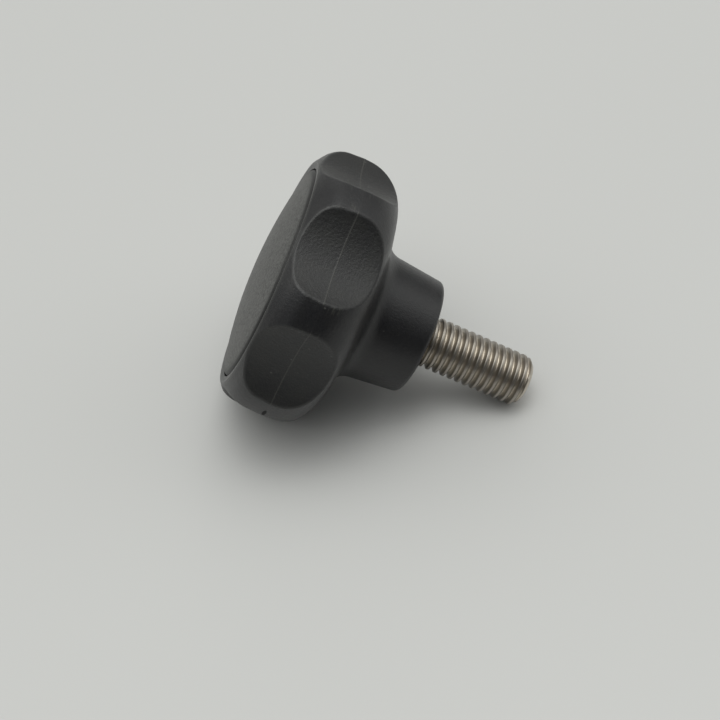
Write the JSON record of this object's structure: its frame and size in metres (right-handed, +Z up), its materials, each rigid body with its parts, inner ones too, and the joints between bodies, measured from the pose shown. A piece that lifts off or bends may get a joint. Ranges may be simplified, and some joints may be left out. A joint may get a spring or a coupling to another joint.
{
  "type": "threaded clamping knob",
  "caption": "Lobed hand knob of black moulded nylon with a domed snap-in cap and a threaded steel stud for clamping by hand.",
  "frame": {"origin": "centre of the bounding box's base, on the surface that the knob lies on", "axes": "+X along the knob's length, towards the tip of the stud; +Z up from the surface, with the knob lying on its side as it comes to rest"},
  "size_m": [0.0476, 0.0418, 0.0392],
  "materials": {
    "body_nylon": "matte moulded nylon with a fine grain in the finger scoops and a thin parting line",
    "cap_nylon": "matte moulded nylon with an even fine spark-eroded texture",
    "stud_steel": "bright rolled stainless steel thread"
  },
  "bodies": {
    "root": {"knob_body": "body_nylon", "cap": "cap_nylon", "stud": "stud_steel"}
  },
  "joints": []
}
